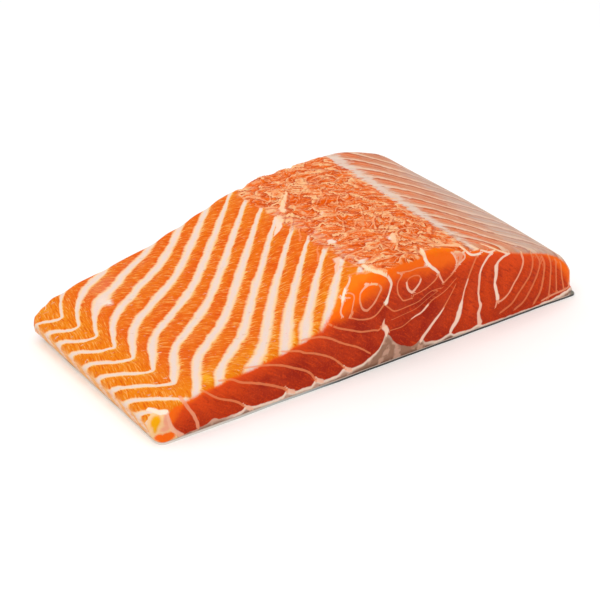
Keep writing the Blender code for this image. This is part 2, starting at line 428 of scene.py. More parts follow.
# The loin between the ridge and the pale line was torn when the backbone came out. The
# tissue of the belly bands runs on into it and frays into flakes, with hollows between.
FLAKE_SIZE = 3.6
SHRED_SIZE = 1.6
FLAKE_STRETCH = 2.4
FLAKE_ANGLE = math.radians(-35.0)
FLAKE_FRAY = 1.5             # how many bands the flakes and shreds stray
SHRED_FRAY = 0.45
FLAKE_STEP = 0.6
FLAKE_RISE = 0.14
SHRED_STEP = 0.22
SHRED_RISE = 0.3
LUMP_HEIGHT = 0.8
HOLLOW_RIM = 0.3
HOLLOW_DEPTH = 0.7
HOLLOWS = (                  # place across and along, half-sizes
    (2.5, 16.0, 2.3, 2.6), (1.5, 7.0, 3.2, 2.1), (9.5, 7.5, 3.0, 1.6), (16.0, 15.5, 2.6, 2.0),
    (17.0, 5.5, 2.9, 2.4), (13.0, 31.0, 2.3, 2.4), (6.0, 24.0, 2.4, 1.6), (-1.0, -1.0, 1.7, 3.2),
    (6.5, -5.0, 2.3, 1.6), (17.5, -3.0, 2.5, 1.4), (10.5, -12.0, 1.8, 2.6), (17.5, -12.0, 2.9, 1.6),
    (27.0, -11.0, 1.9, 1.4), (22.5, -17.5, 2.8, 1.2), (18.0, -23.0, 4.0, 3.1),
    (27.0, -20.0, 2.3, 1.4), (7.0, -27.0, 2.6, 1.8), (26.5, -31.0, 2.5, 1.3), (27.5, 20.5, 1.6, 2.6),
)
lying = (x_top * math.cos(FLAKE_ANGLE) + y_top * math.sin(FLAKE_ANGLE)) / FLAKE_STRETCH
standing = y_top * math.cos(FLAKE_ANGLE) - x_top * math.sin(FLAKE_ANGLE)
drawn_out = np.stack([lying, standing, 0 * lying], axis=1)
flakes = noise_at(drawn_out, FLAKE_SIZE, (2.0, 6.0, 0.0))
shreds = noise_at(drawn_out, SHRED_SIZE, (8.0, 3.0, 0.0))
frayed = smooth_step(RIDGE_X - 5, RIDGE_X + 8, x_top + 2.0 * lumps)
torn = belly_band(x_top, y_top) + frayed * (FLAKE_FRAY * flakes + SHRED_FRAY * shreds)
fine_torn = 2 * torn + frayed * (0.9 * shreds + 0.5 * small_lumps)
hollow = np.full(len(x_top), -1.0)
for at_x, at_y, half_x, half_y in HOLLOWS:
    away = np.hypot((x_top - at_x) / half_x, (y_top - at_y) / half_y)
    hollow = np.maximum(hollow, 1 - away + 0.5 * small_lumps + 0.3 * shreds)


def lifted_step(number, rise):
    """A step that rises quickly after each whole number and then sinks slowly."""
    part = number % 1.0
    return np.minimum(part / rise, (1 - part) / (1 - rise))


rough_start = smooth_step(RIDGE_X, RIDGE_X + 4, x_top + 2.5 * lumps + 1.2 * small_lumps)
rough_end = smooth_step(ROUGH_END_X - 4, ROUGH_END_X + 1, x_top)
rough = rough_start * (1 - rough_end)
hollowed = smooth_step(0.0, 0.5, hollow)
relief = (
    FLAKE_STEP * (lifted_step(torn, FLAKE_RISE) - 0.5) * (1 - 0.8 * hollowed)
    + SHRED_STEP * (lifted_step(fine_torn, SHRED_RISE) - 0.5) * (1 - hollowed)
    + HOLLOW_RIM * bell(hollow, -0.05, 0.15)
    - HOLLOW_DEPTH * hollowed
    + LUMP_HEIGHT * lumps
)
on_slope = 1 - smooth_step(RIDGE_X - 4, RIDGE_X, x_top)
swell = BAND_SWELL * on_slope * (0.5 + 0.5 * np.cos(2 * math.pi * belly_band(x_top, y_top)))
edge_z = plain_height(x_top, y_top) - edge_fall(x_top, y_top) - swell + rough * relief

leaning = np.clip(1 - (x_top - BELLY_X) / LEAN_REACH, 0.0, 1.0) * (on_belly_side | on_cut)
x = x_top + belly_lean(along) * (1 - level) * leaning
end_swell = BACK_SWELL * np.sin(math.pi * level) + BACK_FOOT * bell(level, 0.1, 0.2)
x = np.where(on_back_end, x + end_swell, x)
z = FLESH_BASE + (edge_z - FLESH_BASE) * level
wave = noise_at(np.stack([x, along * WAVE_LENGTH, z], axis=1), WAVE_LENGTH, (0.0, 0.0, 0.0))
y = np.where(on_cut, y_top + CUT_WAVE * wave * np.sin(math.pi * level), y_top)

# On a cut the pattern runs on over the rounded upper edge. Points there are moved
# along one slanting line onto the flat of the cut before the pattern is worked out.
EDGE_SLANT_X = -0.71
EDGE_SLANT_Z = 0.635
far_half = y > 0
past_cut = np.maximum(y - NEAR_Y, 0.0)
far_share = np.clip(near_height(x) / far_height(x), 0.0, 1.0)
cut_x = np.where(far_half, x, x + EDGE_SLANT_X * past_cut)
cut_z = np.where(far_half, z * far_share, z + EDGE_SLANT_Z * past_cut)

# Sheets of tissue as the knife cut across them: how white each is, half its width at
# the start and at the end, and its way over the cut as places across and heights.
CUT_LINES = (
    # Belly muscle, from the corner to the ridge.
    (0.8, 0.5, 0.7, ((-81.0, 12.9), (-78.0, 11.5), (-75.6, 10.3), (-73.8, 9.9))),
    (0.55, 0.4, 0.7, ((-73.4, 9.4), (-73.0, 7.6), (-72.6, 5.6), (-71.8, 3.8), (-70.4, 2.2),
                      (-69.2, 1.0))),
    (0.45, 0.45, 0.5, ((-69.5, 12.9), (-68.3, 11.3), (-67.0, 9.0), (-65.5, 6.5), (-64.4, 3.6),
                       (-64.0, 1.8))),
    (0.3, 0.25, 0.35, ((-62.8, 12.7), (-61.2, 11.7), (-57.5, 8.5), (-52.0, 5.6), (-49.0, 3.0))),
    (0.3, 0.3, 0.4, ((-57.0, 13.8), (-52.8, 12.7), (-50.0, 10.9), (-45.0, 8.9), (-40.0, 6.5),
                     (-35.5, 3.8), (-34.8, 2.6))),
    (0.3, 0.3, 0.35, ((-49.0, 15.0), (-43.0, 13.8), (-37.0, 11.9), (-32.5, 9.5), (-27.5, 6.5),
                      (-24.8, 2.6))),
    (0.3, 0.3, 0.3, ((-36.5, 16.1), (-31.0, 14.4), (-29.0, 13.2), (-25.0, 11.6), (-20.0, 8.8),
                     (-16.5, 5.6), (-14.5, 3.0))),
    (0.3, 0.35, 0.25, ((-29.8, 17.5), (-24.0, 16.6), (-20.0, 14.8), (-16.0, 12.1), (-10.0, 8.7),
                       (-6.0, 5.6))),
    (0.3, 0.3, 0.28, ((-20.6, 19.6), (-17.5, 17.4), (-13.0, 15.3), (-9.0, 13.5), (-4.5, 12.6),
                      (-3.0, 12.1), (-2.0, 12.6))),
    # Rings below the ridge.
    (0.6, 0.25, 0.5, ((-13.4, 32.4), (-13.6, 30.8), (-14.8, 29.0))),
    (0.8, 0.5, 0.4, ((-14.9, 29.0), (-15.6, 27.2), (-16.0, 25.0))),
    (0.55, 0.3, 0.2, ((-15.6, 25.0), (-16.6, 22.8), (-16.3, 21.0), (-14.8, 19.7), (-13.3, 19.3))),
    (0.45, 0.2, 0.22, ((-13.3, 19.3), (-12.6, 22.0), (-11.9, 25.6), (-12.9, 26.9), (-14.4, 27.6))),
    (0.5, 0.3, 0.2, ((-17.0, 27.0), (-15.5, 26.2), (-13.6, 25.8))),
    (0.45, 0.25, 0.35, ((-9.8, 26.0), (-10.0, 23.6), (-9.2, 21.4), (-8.2, 20.2), (-7.1, 19.7))),
    (0.45, 0.35, 0.28, ((-7.1, 19.7), (-4.8, 21.3), (-2.7, 24.4), (-2.3, 25.4), (-3.0, 26.5))),
    (0.55, 0.3, 0.3, ((-3.0, 26.5), (-4.6, 27.4), (-6.6, 27.8), (-8.6, 27.2), (-9.8, 26.0))),
    (0.6, 0.4, 0.3, ((-7.8, 28.4), (-6.4, 27.9))),
    (0.35, 0.2, 0.3, ((-13.3, 19.3), (-9.5, 17.6), (-6.0, 16.9), (-3.5, 17.6), (-1.1, 19.9))),
    # The sheet between belly and back muscle.
    (0.9, 0.6, 0.5, ((-8.5, 34.5), (-5.6, 32.0), (-3.0, 30.6), (-1.0, 29.2))),
    (0.7, 0.5, 0.3, ((-1.0, 29.2), (0.3, 27.8), (1.3, 25.8), (0.9, 23.9), (0.4, 22.3))),
    (0.85, 0.3, 0.7, ((0.4, 22.3), (0.0, 21.2), (-0.4, 20.2))),
    (0.6, 0.1, 0.8, ((-0.9, 14.9), (-1.2, 13.4), (-0.9, 12.4))),
    (0.7, 0.8, 0.8, ((-0.9, 12.4), (-0.2, 11.6), (0.2, 10.9))),
    (0.7, 0.8, 0.3, ((0.2, 10.9), (0.0, 9.6))),
    # Back muscle: rings, then lines that lean over towards the back end.
    (0.5, 0.3, 0.2, ((3.6, 28.6), (5.2, 27.4))),
    (0.35, 0.25, 0.2, ((5.2, 27.4), (3.6, 25.2), (3.8, 22.0), (5.2, 19.8), (6.2, 18.9), (9.0, 18.8))),
    (0.35, 0.12, 0.3, ((9.5, 19.6), (13.5, 20.2), (17.0, 21.8), (18.6, 23.2))),
    (0.6, 0.3, 0.4, ((6.9, 24.6), (7.2, 23.0), (8.0, 21.6), (9.1, 20.6))),
    (0.6, 0.4, 0.3, ((9.1, 20.6), (10.4, 21.6), (11.7, 22.9), (12.2, 24.2))),
    (0.25, 0.2, 0.2, ((12.2, 24.2), (11.4, 25.4), (9.5, 25.9), (7.8, 25.6), (6.9, 24.6))),
    (0.25, 0.25, 0.12, ((-0.3, 19.2), (2.0, 17.0), (3.8, 16.4), (8.0, 16.6), (12.0, 17.1),
                        (16.0, 18.9), (20.0, 19.0))),
    (0.1, 0.12, 0.12, ((2.0, 14.0), (6.0, 14.4), (11.0, 15.0), (15.0, 16.8), (20.6, 19.0))),
    (0.2, 0.15, 0.2, ((1.0, 10.7), (5.5, 10.6), (7.5, 11.2), (9.2, 12.0))),
    (0.65, 0.2, 0.35, ((9.2, 12.0), (11.0, 12.6), (13.0, 13.1), (15.5, 14.9))),
    (0.25, 0.25, 0.12, ((15.5, 14.9), (17.0, 16.0), (21.5, 17.6), (25.5, 20.4))),
    (0.3, 0.15, 0.3, ((25.6, 18.6), (23.2, 14.8), (21.0, 11.6))),
    (0.7, 0.35, 0.6, ((21.2, 11.7), (19.7, 10.0), (18.2, 8.8), (16.6, 7.3), (13.8, 4.6), (13.2, 3.6))),
    (0.4, 0.2, 0.2, ((4.5, 28.4), (8.0, 27.9), (11.0, 28.0), (15.2, 27.2))),
    (1.0, 0.6, 0.45, ((12.2, 33.5), (13.2, 31.0), (14.2, 28.8), (15.8, 27.0))),
    (0.75, 0.45, 0.4, ((15.8, 27.0), (17.4, 25.6), (18.8, 24.2))),
    (0.55, 0.4, 0.22, ((18.8, 24.2), (19.4, 22.8), (20.9, 20.3))),
    (0.35, 0.25, 0.3, ((20.9, 20.3), (22.6, 21.4), (24.0, 22.3), (25.2, 23.6))),
    (0.6, 0.25, 0.25, ((23.4, 29.6), (24.6, 28.0), (25.4, 26.4), (25.6, 25.2))),
    (0.5, 0.5, 0.25, ((26.2, 24.7), (25.2, 23.6), (24.2, 22.6))),
    (0.6, 0.35, 0.2, ((25.8, 24.6), (27.3, 25.3), (28.7, 26.3), (28.3, 27.6), (26.8, 28.8),
                      (24.6, 29.6))),
    (0.45, 0.55, 0.75, ((25.2, 28.7), (26.9, 27.5), (27.0, 26.2))),
    (0.8, 0.25, 0.4, ((26.0, 31.2), (28.6, 28.8), (30.6, 26.9), (32.4, 26.2), (34.4, 26.0))),
    (0.25, 0.35, 0.3, ((33.3, 25.4), (32.3, 23.3), (30.9, 20.4), (30.3, 18.9))),
    (0.6, 0.3, 0.3, ((30.3, 18.9), (29.1, 15.6), (28.8, 14.0), (28.4, 12.2))),
    (0.75, 0.35, 0.95, ((28.4, 12.2), (28.1, 10.8), (27.3, 7.2))),
    (0.75, 0.95, 0.5, ((27.3, 7.2), (26.6, 5.6), (25.4, 4.2), (24.6, 2.8))),
    (0.75, 0.2, 0.35, ((30.6, 29.8), (33.2, 28.0), (36.2, 26.4), (39.4, 25.0))),
    (0.7, 0.45, 0.3, ((39.0, 24.7), (37.5, 23.5), (35.8, 21.3), (35.2, 19.6))),
    (0.6, 0.45, 0.35, ((35.1, 19.2), (35.0, 16.5), (34.9, 13.0))),
    (0.65, 0.3, 0.6, ((34.9, 13.0), (35.5, 10.0), (36.1, 8.2), (35.5, 5.8))),
    (0.65, 0.5, 0.9, ((35.5, 5.8), (35.7, 4.0), (36.3, 2.4))),
    (0.7, 0.15, 0.3, ((35.0, 29.2), (39.5, 26.5), (43.0, 24.4), (46.3, 22.6))),
    (0.7, 0.35, 0.5, ((46.3, 22.6), (44.0, 22.2), (42.3, 21.2), (41.6, 20.2))),
    (0.7, 0.8, 0.45, ((41.6, 20.0), (41.7, 17.0), (41.4, 14.4))),
    (0.75, 0.45, 0.65, ((41.4, 14.0), (42.0, 11.8), (43.0, 8.4))),
    (0.5, 0.5, 0.25, ((43.0, 8.4), (42.6, 7.2), (42.2, 6.0))),
    (0.5, 0.3, 0.35, ((43.0, 7.6), (44.5, 7.4), (47.2, 8.8), (49.3, 11.7), (51.5, 15.0),
                      (52.5, 18.5), (51.3, 21.6))),
    (0.2, 0.4, 0.3, ((44.5, 3.3), (49.0, 5.1), (51.2, 7.5), (54.0, 10.5), (56.1, 13.3),
                      (56.6, 17.5), (55.3, 21.0))),
    (0.2, 0.4, 0.3, ((50.5, 2.6), (54.4, 4.6), (57.8, 9.5), (59.4, 13.2), (59.6, 16.4),
                      (57.8, 19.2))),
    (0.25, 0.45, 0.35, ((58.6, 2.3), (61.0, 5.8), (61.8, 10.5), (61.7, 14.9), (60.2, 18.0))),
    (0.25, 0.3, 0.3, ((64.6, 2.2), (64.8, 8.0), (64.5, 14.0), (62.9, 17.9))),
    (0.25, 0.25, 0.25, ((67.9, 3.0), (67.2, 9.0), (66.6, 14.4), (65.9, 15.4))),
    (0.3, 0.3, 0.25, ((71.0, 3.6), (69.7, 8.0), (68.9, 12.6), (68.3, 13.8))),
    (0.45, 0.35, 0.35, ((72.9, 5.0), (73.3, 7.0), (73.0, 9.5), (72.2, 11.2))),
    (0.45, 0.3, 0.4, ((62.0, 2.2), (66.0, 2.9), (72.0, 3.4), (73.5, 4.6))),
)
# Where lines reach the fat under the cut they spread into small white wedges.
WEDGE_TIPS = ((-49.4, 3.9), (-35.3, 4.4), (-25.3, 4.4), (-15.3, 4.7))
wedges = [
    (0.6, 0.15, 0.7, ((tip_x, tip_z), (tip_x + 0.9, tip_z - 1.3), (tip_x + 2.4, tip_z - 2.4)))
    for tip_x, tip_z in WEDGE_TIPS
]
PATH_STEPS = 6
BEAD_LENGTH = 1.5
LINE_BLUR = 0.35


def smooth_path(points):
    """A smooth path through drawn points."""
    knots = np.array(points)
    knots = np.vstack([2 * knots[0] - knots[1], knots, 2 * knots[-1] - knots[-2]])
    t = np.linspace(0, 1, PATH_STEPS, endpoint=False)[:, None]
    parts = [
        b + 0.5 * t * ((c - a) + t * (2 * a - 5 * b + 4 * c - d + t * (3 * b - a - 3 * c + d)))
        for a, b, c, d in zip(knots, knots[1:], knots[2:], knots[3:])
    ]
    return np.vstack([*parts, knots[-2:-1]])


def nearest_line(lines, u, v):
    """Side and distance of the nearest line as shares of its half-width, its gap and its whiteness."""
    starts, ends, widths, whites = [], [], [], []
    for white, start_width, end_width, points in lines:
        path = smooth_path(points)
        taper = np.linspace(start_width, end_width, len(path))
        starts.append(path[:-1])
        ends.append(path[1:])
        widths.append((taper[:-1] + taper[1:]) / 2)
        whites.append(np.full(len(path) - 1, white))
    start, end = np.vstack(starts), np.vstack(ends)
    width, white = np.concatenate(widths), np.concatenate(whites)
    way = end - start
    result = np.empty((3, len(u)))
    for first in range(0, len(u), 4000):
        part = slice(first, first + 4000)
        gap_u = u[part, None] - start[:, 0]
        gap_v = v[part, None] - start[:, 1]
        along_way = np.clip((gap_u * way[:, 0] + gap_v * way[:, 1]) / (way ** 2).sum(axis=1), 0, 1)
        away = np.hypot(gap_u - along_way * way[:, 0], gap_v - along_way * way[:, 1])
        best = np.argmin(away - width, axis=1)
        pick = (np.arange(len(best)), best)
        side = np.sign(way[best, 0] * gap_v[pick] - way[best, 1] * gap_u[pick])
        result[:, part] = side * away[pick] / width[best], away[pick] - width[best], white[best]
    return result


# Rims of torn flakes and ends of tissue on the upper surface, drawn from the belly towards
# the back: whiteness, half-widths, and places across and along.
TORN_RIMS = (
    # The belly bands end at the ridge in hooks.
    (0.25, 0.38, 0.19, ((-5.9, 28.3), (-4.3, 26.0), (-2.8, 23.2), (-1.8, 20.8))),
    (0.15, 0.19, 0.22, ((-1.8, 20.8), (-0.8, 22.0), (0.5, 23.6))),
    (0.25, 0.38, 0.19, ((-6.0, 20.8), (-4.8, 18.0), (-3.6, 15.8), (-2.4, 14.0))),
    (0.7, 0.9, 0.35, ((-2.8, 11.9), (-2.0, 13.6), (-0.5, 15.4), (1.2, 17.0), (2.6, 18.6), (4.2, 20.4))),
    (0.7, 0.6, 1.2, ((-10.8, 4.4), (-9.0, 5.6), (-6.8, 8.0), (-5.8, 10.0))),
    (0.15, 0.3, 0.22, ((-7.5, 1.0), (-6.0, 3.2), (-4.4, 5.0), (-3.4, 7.0))),
    (0.25, 0.38, 0.19, ((-8.5, -5.0), (-6.8, -2.5), (-5.2, 0.0))),
    (0.25, 0.38, 0.22, ((-10.6, -17.0), (-8.6, -14.0), (-7.2, -12.0))),
    (0.6, 0.5, 0.6, ((-10.4, -25.4), (-8.4, -23.2), (-6.8, -21.4))),
    # Thin edges of flakes over the loin.
    (0.15, 0.22, 0.3, ((5.8, 26.2), (7.5, 27.0), (9.6, 26.4))),
    (0.15, 0.22, 0.3, ((13.4, 22.2), (14.5, 24.8), (16.5, 25.9), (18.4, 25.1))),
    (0.25, 0.38, 0.3, ((17.4, 23.4), (19.6, 23.1), (21.5, 22.4), (23.0, 21.2))),
    (0.15, 0.3, 0.22, ((15.6, 31.4), (18.2, 30.5), (20.6, 29.2), (22.4, 27.9))),
    (0.15, 0.22, 0.3, ((22.8, 28.2), (24.6, 26.8), (26.6, 25.0))),
    (0.25, 0.22, 0.26, ((11.8, 12.4), (13.2, 14.4), (14.4, 16.0), (16.2, 16.8))),
    (0.05, 0.22, 0.22, ((7.6, 8.8), (9.8, 10.8), (12.4, 12.2))),
    (0.25, 0.22, 0.22, ((12.8, 5.2), (14.3, 7.2), (16.0, 8.3), (17.6, 8.5), (18.9, 7.4), (20.2, 5.6))),
    (0.15, 0.22, 0.22, ((8.8, 1.2), (10.9, 3.0), (12.8, 2.4), (14.2, 1.0))),
    (0.25, 0.22, 0.26, ((14.6, -1.8), (16.1, 0.4), (18.4, 0.5), (20.2, -0.8))),
    (0.15, 0.26, 0.22, ((0.6, 1.0), (2.2, -1.2), (4.0, -3.6), (5.6, -5.2))),
    (0.15, 0.22, 0.22, ((3.2, -11.0), (4.6, -8.6), (6.6, -5.9), (8.8, -5.4))),
    (0.05, 0.22, 0.19, ((8.3, -12.0), (8.0, -10.0), (9.3, -8.3), (11.2, -8.2))),
    (0.05, 0.19, 0.22, ((11.2, -8.2), (12.9, -10.2), (12.7, -13.0), (11.2, -15.4))),
    (0.25, 0.22, 0.22, ((11.4, -15.6), (13.0, -12.6), (15.0, -10.0), (17.0, -8.5), (19.4, -7.6))),
    (0.15, 0.22, 0.26, ((10.6, -19.8), (13.8, -17.1), (17.0, -14.6), (19.5, -12.6), (21.0, -10.8))),
    (0.15, 0.22, 0.22, ((12.4, -8.6), (13.8, -5.6), (15.2, -3.2), (16.2, -1.4))),
    (0.6, 0.8, 0.6, ((10.9, -25.0), (11.8, -23.0), (13.3, -21.0))),
    (0.35, 0.26, 0.26, ((13.4, -23.2), (14.5, -21.0), (16.5, -19.8), (19.0, -19.5), (21.0, -20.3),
                        (23.5, -21.8))),
    (0.3, 0.4, 0.6, ((24.2, -25.0), (25.6, -22.8), (27.2, -21.4))),
    (0.15, 0.26, 0.3, ((14.0, -27.8), (17.4, -29.0), (20.6, -30.2), (23.4, -31.6))),
    (0.5, 0.5, 0.7, ((20.6, -32.6), (24.0, -33.0), (27.4, -34.2))),
    (0.15, 0.26, 0.22, ((8.6, -28.8), (10.6, -26.4), (13.0, -25.0))),
    (0.25, 0.22, 0.3, ((-8.8, -25.6), (-6.4, -28.2), (-4.2, -31.2), (-2.4, -33.6), (-0.6, -35.0))),
    (0.15, 0.22, 0.22, ((-9.4, -30.2), (-7.0, -31.4), (-4.6, -33.2), (-2.4, -34.8))),
    (0.05, 0.22, 0.22, ((20.6, 13.4), (22.8, 11.6), (25.2, 10.8), (27.6, 9.2))),
    (0.15, 0.22, 0.26, ((19.6, 4.8), (22.0, 4.0), (24.6, 3.2), (27.6, 1.4))),
    (0.05, 0.22, 0.22, ((20.4, -3.2), (22.6, -5.0), (25.0, -5.6), (28.0, -7.4))),
    (0.05, 0.22, 0.26, ((20.6, -11.2), (22.4, -12.4), (24.8, -14.2), (28.0, -16.0))),
    (0.15, 0.22, 0.26, ((20.6, 17.8), (23.0, 18.6), (25.8, 18.4), (28.0, 17.6))),
    (0.05, 0.22, 0.22, ((-1.0, 32.4), (1.6, 29.8), (3.4, 28.4))),
    (0.05, 0.19, 0.22, ((3.6, 24.0), (5.4, 22.4), (8.0, 22.2), (9.8, 20.8))),
    (0.05, 0.22, 0.22, ((5.2, 14.6), (7.0, 17.0), (9.2, 18.4), (12.0, 18.6))),
    (0.05, 0.19, 0.22, ((-0.6, 3.4), (1.0, 4.8), (3.2, 3.6), (5.2, 4.6))),
    (0.15, 0.22, 0.22, ((1.0, -17.4), (3.0, -19.2), (5.6, -19.4), (8.2, -20.6))),
    (0.05, 0.22, 0.19, ((1.4, -24.0), (3.6, -25.4), (5.8, -24.8), (8.4, -25.8))),
    (0.05, 0.22, 0.22, ((1.0, -31.6), (3.6, -32.6), (6.4, -32.0), (9.4, -33.0))),
    # Tips of the back bands by the nearer cut.
    (0.05, 0.19, 0.22, ((36.0, -21.0), (39.4, -22.6), (43.2, -25.6), (46.2, -29.6), (48.0, -34.0))),
    (0.05, 0.19, 0.19, ((35.6, -14.0), (40.0, -15.6), (45.0, -18.6), (48.6, -22.8), (51.0, -28.0))),
)
LINES_REACH = 7.0
LOIN_START_X = -14.0
FAR_OFF = 9.0
RIM_RISE = 0.1
GROOVE_DEPTH = 0.12
LINE_SLOPE = 0.5             # how wide the sides of a rim or a groove are
near_a_cut = on_cut | (past_cut < LINES_REACH)
on_loin = (x_top > LOIN_START_X) & (level == 1) & ~on_cut
cut_marks, rim_marks = np.full((2, 3, len(x)), FAR_OFF)
cut_marks[:, near_a_cut] = nearest_line((*CUT_LINES, *wedges), cut_x[near_a_cut], cut_z[near_a_cut])
frayed_x = x_top + 0.35 * shreds + 0.25 * small_lumps
frayed_y = y_top + 0.35 * small_lumps - 0.25 * shreds
rim_marks[:, on_loin] = nearest_line(TORN_RIMS, frayed_x[on_loin], frayed_y[on_loin])
torn_rise = RIM_RISE * bell(np.maximum(rim_marks[1], 0.0), 0.0, LINE_SLOPE)
z = z + np.where(on_loin, torn_rise * smooth_step(1.0, 4.0, past_cut), 0.0)
line_side, line_gap, line_white = np.where(rim_marks[1] < cut_marks[1], rim_marks, cut_marks)
groove = GROOVE_DEPTH * bell(np.maximum(line_gap, 0.0), 0.0, LINE_SLOPE)
y = y + np.where(on_near_cut, groove, 0.0) - np.where(on_far_cut, groove, 0.0)

flesh_place = np.stack([x, y, z], axis=1)
flesh = solid_piece("trout_flesh", flesh_place + (SHIFT_X, 0, 0), flesh_faces, 60)
store(flesh, "place", flesh_place)
bead = 1 + 0.3 * noise_at(flesh_place, BEAD_LENGTH, (4.0, 0.0, 0.0))
store(flesh, "line_side", line_side / bead)
store(flesh, "line_gap", line_gap / LINE_BLUR)
store(flesh, "line_white", np.clip(line_white, 0.0, 1.0))

# The slanting stripes of the belly side: the tissue leans towards the nearer cut as it
# goes down, except near the farther one.
SIDE_SLANT_FAR = -0.5
SIDE_SLANT_NEAR = 1.1
slant = SIDE_SLANT_FAR + (SIDE_SLANT_NEAR - SIDE_SLANT_FAR) * (1 - along)
depth = edge_z - z
side_y = np.where(on_belly_side, y + slant * depth, y)
band = belly_band(x_top, side_y)
SLOPE_STEP = 0.5
band_slope = np.hypot(
    belly_band(x_top + SLOPE_STEP, side_y) - belly_band(x_top - SLOPE_STEP, side_y),
    belly_band(x_top, side_y + SLOPE_STEP) - belly_band(x_top, side_y - SLOPE_STEP),
) / (2 * SLOPE_STEP)

# Half the width of the white tissue on the slope, in mm: thin by the belly edge, widest up
# the slope and thin again at the ridge. Each change has its amount, its start and its end.
TIP_STRIPE = 0.46
STRIPE_CHANGES = ((0.8, -70.0, -62.0), (-0.25, -26.0, -16.0), (-0.4, -18.0, -8.0))
STRIPE_WAVE_LENGTH = 5.0
stripe = TIP_STRIPE + sum(change * smooth_step(a, b, x_top) for change, a, b in STRIPE_CHANGES)
# Wider by the nearer cut and in one blot, and gone at the farther belly corner.
stripe = stripe + 0.35 * bell(y, NEAR_Y, 12.0) * smooth_step(-52, -44, x_top)
stripe = stripe * (1 + 1.3 * bell(x_top, -61.0, 3.2) * bell(y, 21.0, 3.5))
stripe = stripe * (1 - bell(x_top, -74.5, 3.0) * smooth_step(28.5, 31.5, y))
stripe = stripe * (1 + 0.25 * noise_at(flesh_place, STRIPE_WAVE_LENGTH, (3.0, 0.0, 0.0)))
stripe = np.where(on_belly_side, 0.75 + 0.3 * (1 - along), stripe)
# None past the last boundary of the nearer belly corner.
stripe = stripe * (1 - smooth_step(9.4, 9.6, band) * (x_top < -70))
stripe = np.where(on_belly_side, stripe * (1 - bell(y, NEAR_Y, 5.0)), stripe)
store(flesh, "band", band)
store(flesh, "stripe_width", stripe * band_slope)

# Layers of the cuts, as places across and mm: how high the fat under the muscle reaches,
# and how far below the rim the orange and the red reach. The orange under the rim is partly the
# muscle's own colour and partly painted light where the rounded rim faces the lamp.
FAT_EDGE = (
    (-77.5, 0.8), (-70.0, 1.0), (-66.0, 1.3), (-62.0, 1.6), (-59.0, 2.6), (-57.0, 1.7), (-50.0, 1.8),
    (-48.5, 2.9), (-46.5, 2.0), (-41.0, 1.7), (-36.5, 1.9), (-35.0, 3.1), (-33.0, 1.9), (-27.0, 1.8),
    (-25.0, 3.1), (-23.0, 2.0), (-18.0, 2.2), (-15.2, 3.4), (-13.0, 2.6), (-8.5, 3.0), (-6.4, 4.0),
    (-3.0, 5.8), (-1.3, 8.0), (-0.3, 10.0), (0.7, 9.4), (2.5, 7.0), (6.0, 4.2), (10.0, 2.8),
    (13.3, 3.9), (15.0, 2.5), (20.0, 1.7), (24.6, 2.5), (26.0, 1.6), (33.0, 1.4), (35.8, 2.2),
    (37.5, 1.3), (42.0, 1.1), (55.0, 1.0), (65.0, 1.4), (70.0, 2.2), (74.0, 3.2),
)
ORANGE_DEPTH = (
    (-77.5, 9.0), (-72.0, 7.0), (-68.0, 3.6), (-62.0, 2.6), (-55.0, 2.2), (-30.0, 2.0), (-20.0, 2.6),
    (-15.0, 7.5), (-10.0, 8.2), (-3.0, 8.6), (1.5, 6.5), (10.0, 7.6), (20.0, 7.5), (27.0, 5.0),
    (35.0, 3.4), (45.0, 1.6), (60.0, 2.2), (68.0, 5.0), (74.0, 9.0),
)
RED_DEPTH = (
    (-77.5, 16.0), (-70.0, 15.0), (-60.0, 12.0), (-40.0, 11.0), (-20.0, 13.0), (0.0, 20.0),
    (20.0, 18.0), (35.0, 14.0), (60.0, 12.0), (74.0, 12.0),
)
below_rim = near_height(cut_x) - cut_z
store(flesh, "fat_edge", cut_z - curve_through(FAT_EDGE, 1)(cut_x))
store(flesh, "fat_brown", smooth_step(-22, -4, cut_x) * (1 - 0.7 * smooth_step(20, 36, cut_x)))
store(flesh, "fat_white", smooth_step(-60, -48, cut_x) - bell(cut_x, 7.0, 9.0))
# Orange under the rim: partly the muscle's colour, partly painted light where the rounded rim faces the
# lamp.
store(flesh, "bright", 1 - below_rim / curve_through(ORANGE_DEPTH, 1)(cut_x))
store(flesh, "warm", 1 - below_rim / curve_through(RED_DEPTH, 1)(cut_x))
store(flesh, "orange_muscle", smooth_step(14, 34, cut_x) + smooth_step(-38, -56, cut_x))
store(flesh, "low", 1 - (cut_z - 2) / 9)

# How far inside a cut, the belly side or the back end a place is, in mm. The nearer cut's
# colours run over its rounded rim at the rings below the ridge and at the loin's end.
RIM_RUN = 0.2
RING_RUN = 5.2
LOIN_RUN = 2.0
FAR_RIM_RUN = 0.6
past_near = y_top - NEAR_Y - inset
past_far = FAR_Y - y_top - inset
cut_rim = RIM_RUN + RING_RUN * bell(x_top, -10.0, 8.5) + LOIN_RUN * bell(x_top, 19.0, 6.0) - past_near
cut_rim = np.maximum(cut_rim, FAR_RIM_RUN - past_far)
# The farther cut's colours stop short of its belly corner.
belly_end = 1 - smooth_step(BELLY_X + 1.5, BELLY_X + 4.5, x)
cut_rim = np.where(on_cut, 1.0 + depth - 9.0 * belly_end * far_half, cut_rim)
cut_rim = np.where(on_belly_side & ~on_cut, 0.3 - np.minimum(past_near, past_far), cut_rim)
store(flesh, "cut_rim", cut_rim)
store(flesh, "side", np.where(on_belly_side, 0.6 + depth, 0.6 - (x_top - BELLY_X)))
store(flesh, "end_rim", np.where(on_back_end, 0.5 + depth, 0.5 - (BACK_X - x_top)))

